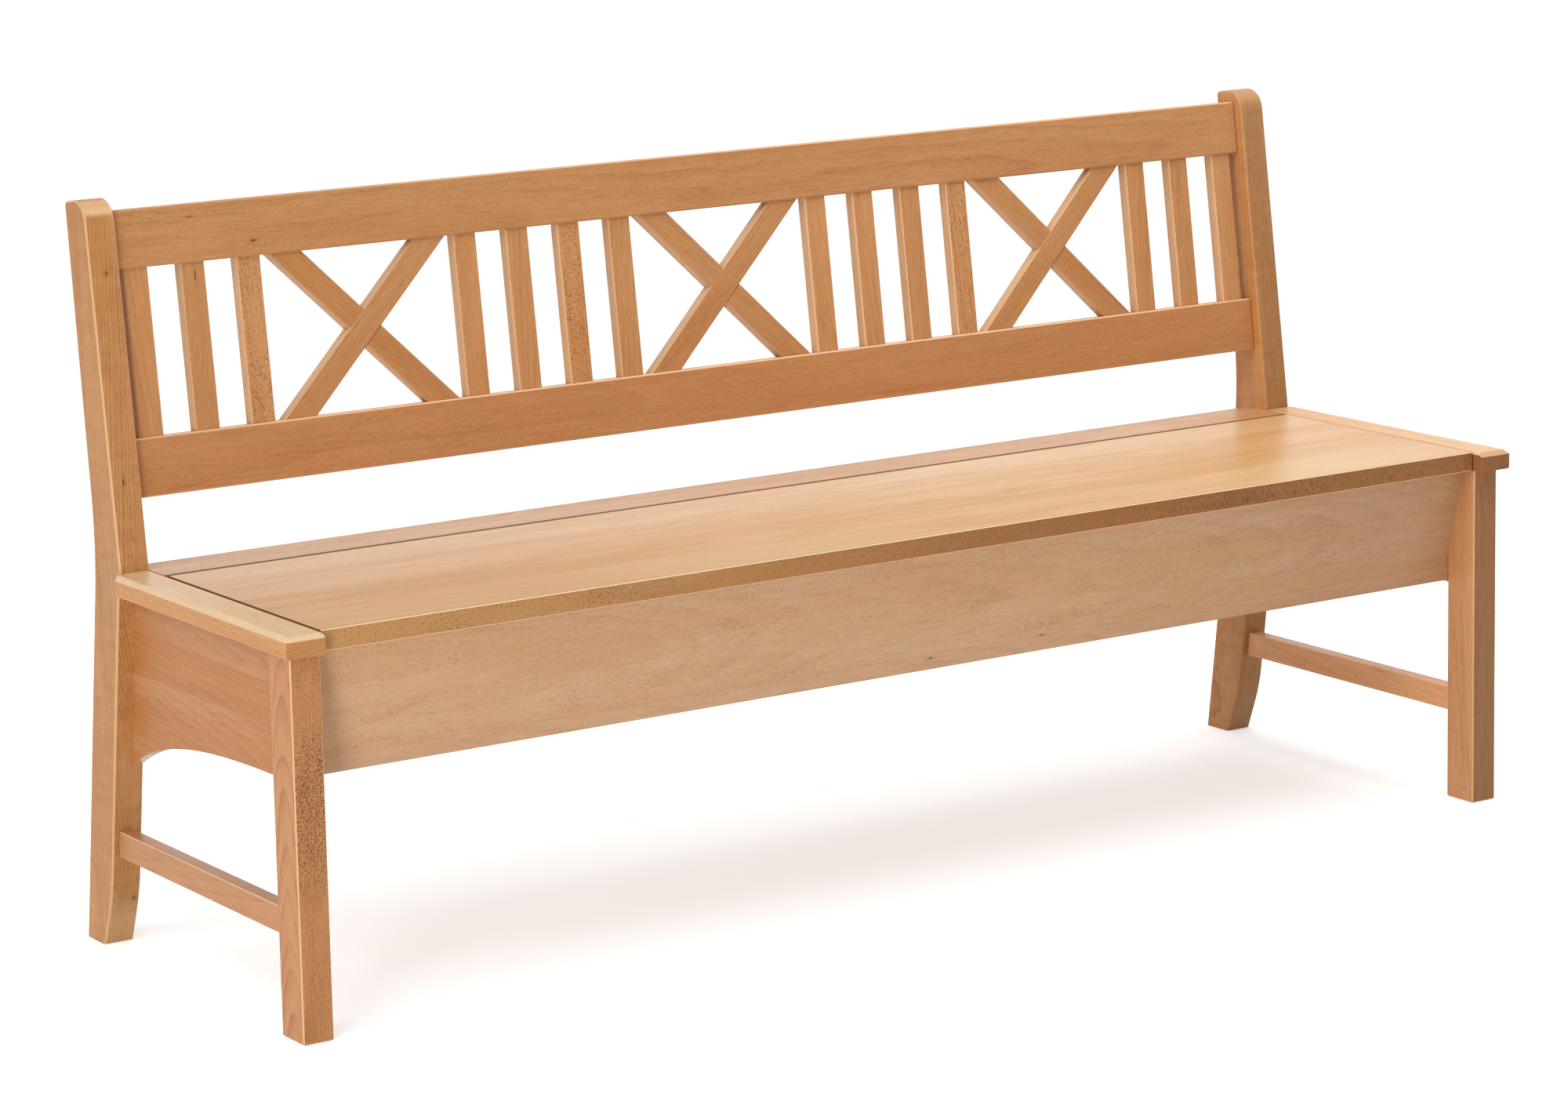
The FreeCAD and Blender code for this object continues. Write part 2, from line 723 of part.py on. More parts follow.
def flat_face(corners):
    """Flat face inside a ring of corners."""
    return Part.Face(Part.makePolygon(corners + corners[:1]))


def screw(head, direction):
    """A countersunk screw along Y, with the middle of its head at a point."""
    neck = head + direction * (screw_head - screw_radius)
    tip = head + direction * screw_length
    rings = [ring(head, screw_head), ring(neck, screw_radius), ring(tip, screw_radius)]
    faces = [flat_face(rings[0]), flat_face(rings[2])]
    for near, far in zip(rings, rings[1:]):
        for i in range(screw_sides):
            faces.append(flat_face([near[i - 1], near[i], far[i], far[i - 1]]))
    return Part.makeSolid(Part.makeShell(faces))


def leaf_screws(side):
    """Screws through the leaves on one side into the wood behind them."""
    y = hinge_line + side * (hinge_gap / 2.0 - leaf_thickness)
    spread = hinge_length - 2.0 * leaf_screw_inset
    found = []
    for x in hinge_places():
        for dx in spread_places(leaf_screw_count, spread):
            found.append(screw(Vector(x + dx, y, pin_height - leaf_screw_drop), along_y * side))
    return found


def lean_back(shape):
    """Tilt a piece that is drawn upright, at the front faces of the posts, into the backrest."""
    placed = shape.copy()
    placed.rotate(Vector(0, 0, 0), along_x, -back_angle)
    placed.translate(Vector(0, post_setback, seat_height))
    return placed


def rail_tenon(rise, clearance):
    """Right tenon of a rail, upright, or its mortise when a clearance is given."""
    middle = rail_inset + rail_thickness / 2.0
    y0 = middle - tenon_thickness / 2.0 - clearance
    y1 = middle + tenon_thickness / 2.0 + clearance
    z0 = rise + tenon_shoulder - clearance
    z1 = rise + rail_height - tenon_shoulder + clearance
    return box(inner_face - clearance, inner_face + tenon_length + clearance, y0, y1, z0, z1)


def rail(rise, slot_rise):
    """A rail of the backrest, tenoned into the posts, with a slot for each bar that it holds."""
    rear = rail_inset + rail_thickness
    bar = box(-inner_face, inner_face, rail_inset, rear, rise, rise + rail_height)
    bar = bar.makeFillet(rail_corner_radius, straight_edges(bar.Edges, along_y))
    long_edges = edges_on_plane(bar, Vector(0, rail_inset, 0), along_y)
    long_edges += edges_on_plane(bar, Vector(0, rear, 0), along_y)
    bar = bar.makeChamfer(rail_ease, long_edges)
    tenon = rail_tenon(rise, 0.0)
    bar = bar.fuse(tenon).fuse(mirrored(tenon)).removeSplitter()
    slots = []
    for low_x, high_x in slat_lines() + cross_lines(1) + cross_lines(-1):
        slots.append(bar_tenon(low_x, high_x, slot_rise, mortise_clearance))
    return lean_back(cut_all(bar, slots))


def slat_lines():
    """Lower and upper end of each upright slat."""
    return [(place * slat_pitch, place * slat_pitch) for place in slat_places]


def cross_lines(side):
    """Lower and upper end of each cross bar: side 1 rises to the right, -1 to the left."""
    half = cross_half_places * slat_pitch - cross_end_offset
    return [(place * slat_pitch - side * half, place * slat_pitch + side * half) for place in cross_places]


def bar_outline(low_x, high_x, width, below, above):
    """Outline of a bar between the rails, drawn on past them by two lengths."""
    slope = (high_x - low_x) / slat_height
    half = width / 2.0 * math.sqrt(1.0 + slope * slope)
    z0 = lower_rail_top - below
    z1 = top_rail_rise + above
    x0 = low_x - slope * below
    x1 = high_x + slope * above
    return (x0 - half, z0), (x0 + half, z0), (x1 + half, z1), (x1 - half, z1)


def bar_tenon(low_x, high_x, rise, clearance):
    """Both stub tenons of a bar, or their slots; rise picks the rail that they are in."""
    y_middle = rail_inset + slat_inset + slat_thickness / 2.0
    half = slat_tenon_thickness / 2.0 + clearance
    reach = slat_tenon_length + clearance
    width = slat_width - 2.0 * slat_tenon_shoulder + 2.0 * clearance
    outline = bar_outline(low_x, high_x, width, reach, reach)
    core = prism_y(outline, y_middle - half, y_middle + half)
    low = rise if rise > lower_rail_top else rise - reach
    far = slat_pitch * (end_place + 1)
    return core.common(box(-far, far, 0.0, rail_inset + rail_thickness, low, low + reach))


def bar(low_x, high_x):
    """A slat or cross bar with eased edges and a stub tenon at each end."""
    y0 = rail_inset + slat_inset
    body = prism_y(bar_outline(low_x, high_x, slat_width, 0.0, 0.0), y0, y0 + slat_thickness)
    run = Vector(high_x - low_x, 0, slat_height)
    body = body.makeChamfer(slat_ease, straight_edges(body.Edges, run))
    for rise in (lower_rail_top, top_rail_rise):
        body = body.fuse(bar_tenon(low_x, high_x, rise, 0.0))
    return body.removeSplitter()


def lap_block(low_x, high_x, front, rear):
    """What a cross bar takes out of the bar that it laps."""
    outline = bar_outline(low_x, high_x, slat_width + 2.0 * lap_clearance, 0.0, 0.0)
    return prism_y(outline, front, rear)


def cross_bar(index, side):
    """One bar of a cross: side 1 passes in front and side -1 behind, halved into each other."""
    front = rail_inset + slat_inset
    rear = front + slat_thickness
    middle = (front + rear) / 2.0
    other_low, other_high = cross_lines(-side)[index]
    if side > 0:
        lap = lap_block(other_low, other_high, middle, rear)
    else:
        lap = lap_block(other_low, other_high, front, middle)
    low_x, high_x = cross_lines(side)[index]
    return lean_back(bar(low_x, high_x).cut(lap))


def export(name, shape):
    """Write one piece, or one group of separate pieces, at its place in the finished frame."""
    placed = shape.copy()
    placed.translate(Vector(0, -footprint_middle, 0))
    if len(placed.Solids) == 1:
        placed = placed.Solids[0]
    placed.exportStep("parts/%s.step" % name)
    print("%-24s solids %2d valid %s" % (name, len(placed.Solids), placed.isValid()))


pieces = {}
for name, piece in (
    ("front_leg", front_leg()),
    ("rear_post", rear_post()),
    ("side_panel", side_panel()),
    ("side_stretcher", side_stretcher()),
    ("side_cleat", side_cleat()),
    ("end_cap", end_cap()),
):
    pieces[name + "_right"] = piece
    pieces[name + "_left"] = mirrored(piece)

pieces["front_panel"] = front_panel()
pieces["back_panel"] = back_panel()
pieces["front_cleat"] = front_cleat()
pieces["back_cleat"] = back_cleat()
pieces["bottom_batten"] = bottom_batten()
pieces["chest_bottom"] = chest_bottom()
pieces["back_strip"] = back_strip()

pieces["lower_rail"] = rail(lower_rail_rise, lower_rail_top)
pieces["top_rail"] = rail(top_rail_rise, top_rail_rise)
for number, (low_x, high_x) in enumerate(slat_lines(), 1):
    pieces["back_slat_%02d" % number] = lean_back(bar(low_x, high_x))
for index in range(len(cross_places)):
    pieces["cross_bar_front_%d" % (index + 1)] = cross_bar(index, 1)
    pieces["cross_bar_rear_%d" % (index + 1)] = cross_bar(index, -1)

pieces["seat_lid"] = seat_lid()
for number, x in enumerate(lid_batten_places(), 1):
    pieces["lid_batten_%d" % number] = lid_batten(x)

for number, x in enumerate(hinge_places(), 1):
    pieces["hinge_%d_lid_leaf" % number] = hinge_leaf(x, -1)
    pieces["hinge_%d_fixed_leaf" % number] = hinge_leaf(x, 1)
    pieces["hinge_%d_pin" % number] = hinge_pin(x)
pieces["hinge_screws_lid"] = Part.makeCompound(leaf_screws(-1))
pieces["hinge_screws_fixed"] = Part.makeCompound(leaf_screws(1))

for name, piece in pieces.items():
    export(name, piece)
print("pieces", len(pieces))
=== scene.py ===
import math
import bpy
from mathutils import Matrix, Vector


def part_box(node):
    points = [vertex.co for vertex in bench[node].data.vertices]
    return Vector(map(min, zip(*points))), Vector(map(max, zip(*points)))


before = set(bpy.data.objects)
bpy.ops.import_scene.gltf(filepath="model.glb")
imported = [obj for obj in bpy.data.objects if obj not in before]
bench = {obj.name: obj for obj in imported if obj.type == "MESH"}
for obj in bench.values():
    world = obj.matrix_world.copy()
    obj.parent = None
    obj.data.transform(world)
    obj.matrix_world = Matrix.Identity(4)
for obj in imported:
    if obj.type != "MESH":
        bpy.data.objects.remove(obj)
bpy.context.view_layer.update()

# Front legs. Straight beech, sawn square, eased along the edges and clear lacquered.
# The leg stands with its quartered face to the front, which shows the lacy ray flecks,
# and its flat-sawn face outwards, with nested arcs.


class Figure:
    """A value that varies over a surface, so that the wood's figure can be written in sums."""

    def __init__(self, tree, socket=None):
        self.tree = tree
        self.socket = socket

    def made(self, kind, settings, sockets, out=0):
        """One output of a new node, which gets its settings first and then its sockets."""
        node = self.tree.nodes.new("ShaderNode" + kind)
        for name, value in settings.items():
            setattr(node, name, value)
        for key, value in sockets.items():
            if isinstance(value, Figure):
                self.tree.links.new(value.socket, node.inputs[key])
            else:
                node.inputs[key].default_value = value
        return Figure(self.tree, node.outputs[out] if len(node.outputs) else None)

    def maths(self, operation, *terms):
        return self.made("Math", {"operation": operation}, dict(enumerate(terms)))

    def vector_maths(self, operation, *terms, out=0):
        return self.made("VectorMath", {"operation": operation}, dict(enumerate(terms)), out)

    def __add__(self, other):
        return self.maths("ADD", self, other)

    __radd__ = __add__

    def __sub__(self, other):
        return self.maths("SUBTRACT", self, other)

    def __rsub__(self, other):
        return self.maths("SUBTRACT", other, self)

    def __mul__(self, other):
        return self.maths("MULTIPLY", self, other)

    __rmul__ = __mul__

    def __truediv__(self, other):
        return self.maths("DIVIDE", self, other)

    def __pow__(self, other):
        return self.maths("POWER", self, other)

    def __abs__(self):
        return self.maths("ABSOLUTE", self)

    def at_least(self, other):
        return self.maths("MAXIMUM", self, other)

    def at_most(self, other):
        return self.maths("MINIMUM", self, other)

    def fades(self, gone, full):
        """0 at gone and 1 at full, smooth between, whichever of the two is the larger."""
        span = {"Value": self, "From Min": gone, "From Max": full}
        return self.made("MapRange", {"interpolation_type": "SMOOTHSTEP"}, span)

    def part(self, axis):
        return self.made("SeparateXYZ", {}, {0: self}, axis)

    def within(self, local, spans):
        """This value, only where each span (axis, gone, full) of the piece has it."""
        kept = self
        for axis, gone, full in spans:
            kept = kept * local.part(axis).fades(gone, full)
        return kept

    def point(self, x, y, z):
        return self.made("CombineXYZ", {}, {0: x, 1: y, 2: z})

    def stretched(self, sizes):
        """These coordinates counted in cells of the given sizes, metres."""
        return self.vector_maths("DIVIDE", self, sizes)

    def turned_to(self, direction):
        """How far this normal looks in a direction, from -1 to 1."""
        return self.vector_maths("DOT_PRODUCT", self, direction, out="Value")

    def clouds(self, sizes, detail=2.0):
        """Soft noise from 0 to 1 with cells of the given sizes, metres."""
        cells = {"Vector": self.stretched(sizes), "Scale": 1.0, "Detail": detail}
        return self.made("TexNoise", {}, cells)

    def mixed(self, one, other, share, way="MIX"):
        """One colour turned into another by a share, 0 to 1."""
        colours = {0: share, 6: one, 7: other}
        return self.made("Mix", {"data_type": "RGBA", "blend_type": way}, colours, 2)


def stain(red, green, blue):
    """A colour given as it shows, 0 to 255, turned into the light that it sends back."""
    shown = [c / 255.0 for c in (red, green, blue)]
    return tuple(c / 12.92 if c < 0.04 else ((c + 0.055) / 1.055) ** 2.4 for c in shown) + (1.0,)


def new_finish(name):
    """An empty material, and the start of its figure."""
    finish = bpy.data.materials.new(name)
    finish.use_nodes = True
    finish.node_tree.nodes.clear()
    return finish, Figure(finish.node_tree)


def put_on(node, finish):
    bench[node].data.materials.clear()
    bench[node].data.materials.append(finish)


# How squarely a surface has to look some way, from where a tone starts to where it is full.
any_way, side_on = (0.6, 0.9), (0.75, 0.95)
piece_apart, stave_apart = 1.37, 9.0  # metres of tree from one piece or stave to the next
heart_shift = 0.05  # metres across that the tree's heart moves from stave to stave
glue_line = 0.0007
bulge = 0.012  # metres that a ring strays over a long board
crowding = 1.6  # years that it strays where rings crowd or spread
pin_depth = 0.02
# pin_dark is the colour of real knots; the brown is painted shade for the gaps.
pin_dark, gap_shade_brown = stain(96, 56, 34), stain(112, 66, 40)
# The palest colour of the painted highlight on eased edges.
palest_highlight = (246, 222, 184)  # as it shows


def own_axes(start, node, along, face):
    """The turn to a piece's own axes, its middle, and its coordinates from there in those axes."""
    low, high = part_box(node)
    middle = (low + high) / 2
    along = Vector(along).normalized()
    face = Vector(face).normalized()
    turn = Matrix((along, face.cross(along), face))
    place = start.made("TexCoord", {}, {}, "Object")
    turned = {"Vector": place, "Location": -(turn @ middle), "Rotation": turn.to_euler()}
    return turn, middle, start.made("Mapping", {}, turned)


def glued(length, width, staves, seed):
    """Staves side by side: where they lie in the tree, a chance for each one, and the joints."""
    stave_width, stave_start = staves
    count = (width - stave_start) / stave_width
    stave = count.maths("FLOOR", count)
    board = stave.made("TexWhiteNoise", {"noise_dimensions": "1D"}, {"W": stave + seed * 0.37})
    joint = abs(count - stave - 0.5).fades(0.5 - glue_line / stave_width, 0.5)
    width = width - (stave + 0.5) * stave_width - stave_start + (board - 0.5) * heart_shift
    return length + board * stave_apart, width, board, joint


def year_rings(axes, wander, heart, year, taper, sway):
    """Rings round the heart, which cross the faces as lines, arcs or loops: how far into its
    year the wood grew, 0 to 1, and how dark it closed."""
    length, width, depth = axes
    spot = length.point(length, width, depth)
    slow = spot.clouds((0.7, 0.25, 0.25), 1.0) - 0.5
    reach = width - heart[0] + wander * sway
    rise = depth - heart[1] + wander * (sway * 0.6)
    ring = (reach * reach + rise * rise) ** 0.5 + length * taper + slow * bulge
    years = ring / year
    uneven = years.point(years * 0.37, 0.0, 0.0).clouds((1.0, 1.0, 1.0)) - 0.5
    years = years + uneven * crowding
    autumn = years.maths("FRACT", years)
    clear = spot.clouds((0.22, 0.03, 0.03), 1.0).fades(0.3, 0.68)
    latewood = (autumn ** 2.2) * autumn.fades(1.0, 0.86) * (clear * 1.2 + 0.3)
    return autumn, latewood


def ray_flecks(dashes, axes, wander, normal, turn, local):
    """Small dark scales on the faces where the saw met the rays that way. They crowd in some
    patches and thin out in others."""
    length, width, depth = axes
    bent = length.point(length, width + wander * 0.002, depth)
    crowd = (length.point(*axes).clouds((0.12, 0.04, 0.04), 1.0) - 0.5) * 0.22
    fleck = 0.0
    for share, strength, cells, toward, spans in dashes:
        facing = abs(normal.turned_to(turn.transposed() @ Vector(toward))).fades(*any_way)
        bare = 0.68 - 0.14 * share
        scale = (bent.clouds(cells, 1.5) + crowd).fades(bare, bare + 0.1)
        fleck = (scale * facing * strength).within(local, spans) + fleck
    return fleck


def pin_mark(local, place, half_length, half_width):
    """The dark knot of a small branch, with a faint ring of shade."""
    away = local.vector_maths("SUBTRACT", place, local)
    away = away.stretched((half_length, half_width, pin_depth))
    away = away.vector_maths("LENGTH", away, out="Value")
    return away.fades(1.0, 0.35) * 0.75 + away.fades(3.2, 0.8) * 0.18


def eased_edges(normal, turn):
    """1 on a chamfer or a rounding, 0 on the flat sides."""
    square = 0.0
    for direction in turn:
        square = abs(normal.turned_to(direction)).at_least(square)
    return square.fades(0.975, 0.88)


def beech(node, along, face, seed, tone=(196, 142, 92), heart=(0.02, -0.09), season=0.3,
          year=0.0032, taper=0.03, sway=0.003, sway_length=0.11, drift=0.5, mottle=0.0,
          dashes=(), staves=None, marks=(), sides=(), gaps=(), grain=1.0, edge=0.7, gloss=0.40):
    """Lacquered beech for one piece, with the grain along it and the show side at face.

    tone is the colour as it shows. heart is the tree's heart, across and outwards from the
    piece's middle. season is how dark a ring ends, year the spacing of the rings, taper how
    fast they run out along the grain, sway and sway_length how they wander. drift is how much
    the tone changes over the board, mottle a ripple across it, grain the strength of fibres
    and streaks, edge the strength of the painted highlight on eased edges. dashes are ray
    flecks: share, strength, cell sizes, side, spans. staves are the width and the start of the
    glued strips. marks are pin marks: place, half length, half width. sides are painted light
    or shade on some faces, and on a few a real tone of their own: direction, factors, gone,
    full, spans. gaps are spans of painted shade. A span is (axis, gone, full)."""
    wood, start = new_finish("beech " + node.replace("_", " "))
    turn, middle, local = own_axes(start, node, along, face)
    normal = start.made("TexCoord", {}, {}, "Normal")
    length, width, depth = (local.part(axis) for axis in range(3))
    length = length + seed * piece_apart
    board = 0.5
    if staves:
        length, width, board, joint = glued(length, width, staves, seed)
    axes = (length, width, depth)
    spot = start.point(*axes)

    def toned(red, green, blue):
        return stain(tone[0] * red, tone[1] * green, tone[2] * blue)

    pale, warm = toned(1.05, 1.07, 1.10), toned(1.01, 0.96, 0.88)
    late, ray = toned(0.80, 0.70, 0.60), toned(0.56, 0.42, 0.34)

    # Slow changes of tone over the board, then rings, streaks, threads and fibres.
    shade = spot.clouds((0.55, 0.07, 0.07), 1.0)
    blot = spot.clouds((0.10, 0.018, 0.018), 2.0)
    warmth = (shade - 0.5) * (2.4 * drift) + (blot - 0.5) * (1.6 * drift) + (board - 0.5) * drift
    colour = start.mixed(pale, warm, (warmth + 0.5).fades(0.0, 1.0))
    wander = spot.clouds((sway_length, 0.09, 0.09)) - 0.5
    autumn, latewood = year_rings(axes, wander, heart, year, taper, sway)
    streak = spot.clouds((0.26, 0.012, 0.012), 2.0)
    thread = spot.clouds((0.032, 0.0022, 0.0022), 2.0)
    fibre = spot.clouds((0.008, 0.0010, 0.0010), 3.0)
    lines = (streak - 0.5) * 0.42 + (thread - 0.5) * 0.6 + (fibre - 0.5) * 0.8
    tint = latewood * season + lines * grain + 0.22
    if mottle:
        tint = tint + (spot.clouds((0.010, 0.05, 0.05), 1.0) - 0.5) * mottle
    colour = start.mixed(colour, late, tint.fades(-0.25, 1.2))
    height = fibre * 0.3 + thread * 0.3 + latewood * 0.2
    if dashes:
        fleck = ray_flecks(dashes, axes, wander, normal, turn, local)
        colour = start.mixed(colour, ray, fleck.at_most(1.0))
        height = height - fleck * 0.6

    # End grain drinks more lacquer: darker, with the rings and rays close together.
    ends = abs(normal.turned_to(turn[0])).fades(*any_way)
    cut = (autumn ** 3.0) * 0.6 + spot.clouds((0.4, 0.0016, 0.012), 2.0) * 0.35
    colour = start.mixed(colour, start.mixed(colour, late, cut), ends)

    # Glue lines between staves, and pin marks.
    if staves:
        colour = start.mixed(colour, late, joint * 0.4)
    for mark, half_length, half_width in marks:
        pin = pin_mark(local, turn @ (Vector(mark) - middle), half_length, half_width)
        colour = start.mixed(colour, pin_dark, pin)

    # A painted highlight: rounded and chamfered edges are coloured paler, where they would catch
    # the light, and they are made less rough so they shine more. Some sides get painted light or
    # shade, and a few a tone of their own.
    corner = eased_edges(normal, turn)
    painted_highlight = (tone[0] * 1.2, tone[1] * 1.38, tone[2] * 1.62)
    painted_highlight = stain(*(min(shown, palest) for shown, palest in zip(painted_highlight, palest_highlight)))
    colour = start.mixed(colour, painted_highlight, corner * edge)
    for toward, own, gone, full, *spans in sides:
        facing = normal.turned_to(turn.transposed() @ Vector(toward)).fades(gone, full)
        colour = start.mixed(colour, own + (1.0,), facing.within(local, spans), "MULTIPLY")

    # Painted shade along the closed gaps: a dark brown and a duller surface stand in for the shadow in
    # them.
    gap_shade = 0.0
    for axis, gone, full in gaps:
        gap_shade = local.part(axis).fades(gone, full) + gap_shade
    if gaps:
        colour = start.mixed(colour, gap_shade_brown, gap_shade.at_most(1.0) * 0.88)

    # A thin satin lacquer over the open fibres.
    rough = (fibre - 0.5) * 0.16 + (streak - 0.5) * 0.1 + gloss - corner * 0.15 + gap_shade * 0.4
    bump = {"Strength": 0.25, "Distance": 0.0006, "Height": height}
    lacquer = {"Base Color": colour, "Roughness": rough, "Normal": start.made("Bump", {}, bump),
               "Specular IOR Level": 0.15, "Coat Weight": 0.08, "Coat Roughness": 0.22}
    start.made("OutputMaterial", {}, {"Surface": start.made("BsdfPrincipled", {}, lacquer)})
    put_on(node, wood)


# In a piece's own axes, the first runs along the grain and the third out of the show face.
lengthways, to_face = 0, (0, 0, 1)
fine_scales = (0.75, 0.42, (0.0034, 0.0014, 0.009), to_face, [])
lace_spans = [(lengthways, -0.10, -0.02), (lengthways, 0.17, 0.10)]
lace = (1.05, 0.7, (0.0018, 0.0030, 0.009), to_face, lace_spans)
beech("front_leg_left", (0, 0, 1), (0, -1, 0), 1, tone=(196, 142, 95), heart=(-0.06, 0.004),
      season=0.5, taper=0.07, sway=0.006, dashes=[fine_scales, lace])
# The right leg's front face is toned darker, painted shade, and its edge highlight is weaker.
beech("front_leg_right", (0, 0, 1), (0, -1, 0), 2, tone=(206, 155, 109), heart=(0.14, -0.03),
      season=0.25, edge=0.35, sides=[(to_face, (0.6, 0.53, 0.48), *side_on)])

# Rear posts. Each is sawn from one wide board to a curved outline and rounded over by a cutter.
# The ring lines run wavy down the front, with a faint ripple across, and the side is plain.
to_left = (0, 1, 0)  # the second of a piece's own axes, for a piece that stands
post_grain, post_front = (0, 0.03, 1), (0, -1, 0.03)
left_post_pins = [((-0.8686, 0.1955, 0.8198), 0.0022, 0.0022),
                  ((-0.8734, 0.1635, 0.5764), 0.006, 0.0016),
                  ((-0.859, 0.2155, 0.0573), 0.004, 0.0035)]
# The right post is toned darker all over by its shade factor, painted shade; its left side is paler
# again, painted light, and its painted edge highlight is weaker.
for side, seed, shade, edge, painted_light_left, pins in (
        ("left", 3, 1.0, 0.55, (1.0, 1.0, 1.0), left_post_pins),
        ("right", 4, 0.91, 0.12, (1.3, 1.27, 1.24), [])):
    beech("rear_post_" + side, post_grain, post_front, seed,
          tone=(198 * shade, 145 * shade, 93 * shade), heart=(0.11, -0.06), season=0.48,
          sway=0.011, sway_length=0.06, taper=0.02, mottle=0.45, edge=edge, marks=pins,
          sides=[(to_left, painted_light_left, *side_on)])

# Side stretchers. Plain square beech rails, a hand above the floor. Each is tenoned into
# the leg in front and into the post behind.
# The right stretcher's paler tone is painted light: it stands under the seat, away from the light on
# the left.
for side, outward, seed, tone in (("left", -1, 5, (200, 148, 103)), ("right", 1, 6, (236, 180, 131))):
    beech("side_stretcher_" + side, (0, outward, 0), (outward, 0, 0), seed, tone=tone, season=0.25)

# Side panels. Boards glued up from staves, bandsawn to one long falling curve below
# and tongued into leg and post. Bands run level above, loops of the rings below.
for side, outward, seed in (("left", -1, 7), ("right", 1, 8)):
    beech("side_panel_" + side, (0, outward, 0), (outward, 0, 0), seed, tone=(192, 136, 88),
          heart=(-0.045, -0.05), season=0.24, taper=0.09, sway=0.014, sway_length=0.14,
          year=0.0062, drift=1.1, staves=(0.05, 0.004))

# Front panel. One flat-sawn board with a narrow plain stave glued along its lower edge,
# leaning back towards the floor. It is the palest board, covered in fine flecks.
sideways = 1
flat_on = (0.8, 0.95)  # leaves out a chamfer
front_lean = math.radians(14.0)
panel_face = Vector((0, -math.cos(front_lean), -math.sin(front_lean)))
panel_up = Vector((0, -math.sin(front_lean), math.cos(front_lean)))
panel_low, panel_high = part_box("front_panel")
lower_edge = Vector((0, -0.2115, 0.29))
panel_foot = (lower_edge - (panel_low + panel_high) / 2).dot(panel_up)
plain_stave, panel_board = 0.021, 0.16
stave_top = panel_foot + plain_stave
freckled = (0.5, 0.42, (0.0036, 0.0011, 0.02), to_face, [(sideways, stave_top, stave_top + 0.004)])
# Painted shade: the front darkens towards the right end. The lower stave's darker tone is its own.
painted_shade_right = (to_face, (0.84, 0.79, 0.76), *flat_on, (lengthways, 0.1, 0.9))
below_the_joint = (to_face, (0.95, 0.9, 0.86), *flat_on, (sideways, stave_top + 0.001, stave_top))
beech("front_panel", (1, 0, 0), panel_face, 9, tone=(220, 182, 146), season=0.12,
      heart=(0.01, -0.3), staves=(panel_board, stave_top), dashes=[freckled], drift=0.4,
      grain=0.65, sides=[painted_shade_right, below_the_joint],
      marks=[((0.1862, -0.2167, 0.3108), 0.004, 0.0012), ((0.0167, -0.2152, 0.305), 0.0045, 0.0014)])

# Back panel. A beech board glued up from staves closes the chest between the posts,
# leaning with them, and is tongued into them.
back_lean = math.radians(8.0)
beech("back_panel", (-1, 0, 0), (0, math.cos(back_lean), math.sin(back_lean)), 10,
      staves=(0.062, 0.02), drift=0.7)

# Chest bottom and its cleats. A thin beech plywood sheet lies on beech cleats glued and
# tongued to the panels, with one batten under its middle.
beech("chest_bottom", (1, 0, 0), (0, 0, 1), 11, tone=(204, 160, 122), heart=(0.0, -0.5),
      season=0.5, year=0.009, sway=0.12, sway_length=0.5, taper=0.05)
for cleat, along, seed in (("front_cleat", (1, 0, 0), 12), ("back_cleat", (1, 0, 0), 13),
                           ("side_cleat_left", (0, 1, 0), 14), ("side_cleat_right", (0, 1, 0), 15),
                           ("bottom_batten", (0, 1, 0), 16)):
    beech(cleat, along, (0, 0, 1), seed)

# End caps. Thick pale boards on top of leg, panel and post, chamfered outside and in front
# and rounded underneath. Their fronts show end grain with the rings on a slant.
rounded_on = (0.4, 0.9)  # takes in a rounded edge
# Painted light pales the tops; painted shade darkens the inner sides beside the lid and the right
# cap's front.
for side, seed, slant, inward, painted_light_top, front in (
        ("left", 17, 0.05, -1, (1.16, 1.6, 2.35), (1.0, 1.0, 1.0)),
        ("right", 18, -0.05, 1, (1.08, 1.28, 1.6), (0.62, 0.55, 0.48))):
    beech("end_cap_" + side, (0, 1, 0), (0, 0, 1), seed, tone=(206, 152, 98),
          heart=(slant, -0.06), edge=0.2,
          sides=[((0, inward, 0), (0.55, 0.45, 0.38), *flat_on), (to_face, painted_light_top, *rounded_on),
                 ((-1, 0, 0), front, *flat_on)])

# Back strip. A narrow beech board fixed behind the lid between the posts. The hinges are
# screwed to its front edge, where the gap is darkened with painted shade.
gap_gone, gap_full = 0.0036, 0.0022  # from an edge inwards, where its gap's painted shade ends and is full
strip_low, strip_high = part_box("back_strip")
strip_front = (strip_low.y - strip_high.y) / 2
beech("back_strip", (1, 0, 0), (0, 0, 1), 19, tone=(195, 148, 102), heart=(0.03, -0.08),
      season=0.25, drift=0.8, gaps=[(sideways, strip_front + gap_gone, strip_front + gap_full)])

# Rails of the backrest. Wide even beech boards with rounded corners, leaning back and let
# into the posts. Two pin marks lie near the left end of the upper one.
backrest_lean = math.radians(7.5)
upward = (0, math.sin(backrest_lean), math.cos(backrest_lean))
forward = (0, -math.cos(backrest_lean), math.sin(backrest_lean))
fine = (0.6, 0.26, (0.0028, 0.0010, 0.02), to_face, [])
beech("top_rail", (1, 0, 0), forward, 20, tone=(198, 146, 97), season=0.25, heart=(-0.02, -0.2),
      taper=0.004, dashes=[fine], drift=0.2, edge=0.2,
      marks=[((-0.6657, 0.2122, 0.8389), 0.0045, 0.0022), ((-0.7468, 0.2168, 0.8742), 0.008, 0.0009)])
beech("lower_rail", (1, 0, 0), forward, 21, tone=(198, 142, 93), season=0.15,
      heart=(0.01, -0.25), taper=0.004, dashes=[fine], drift=0.25)
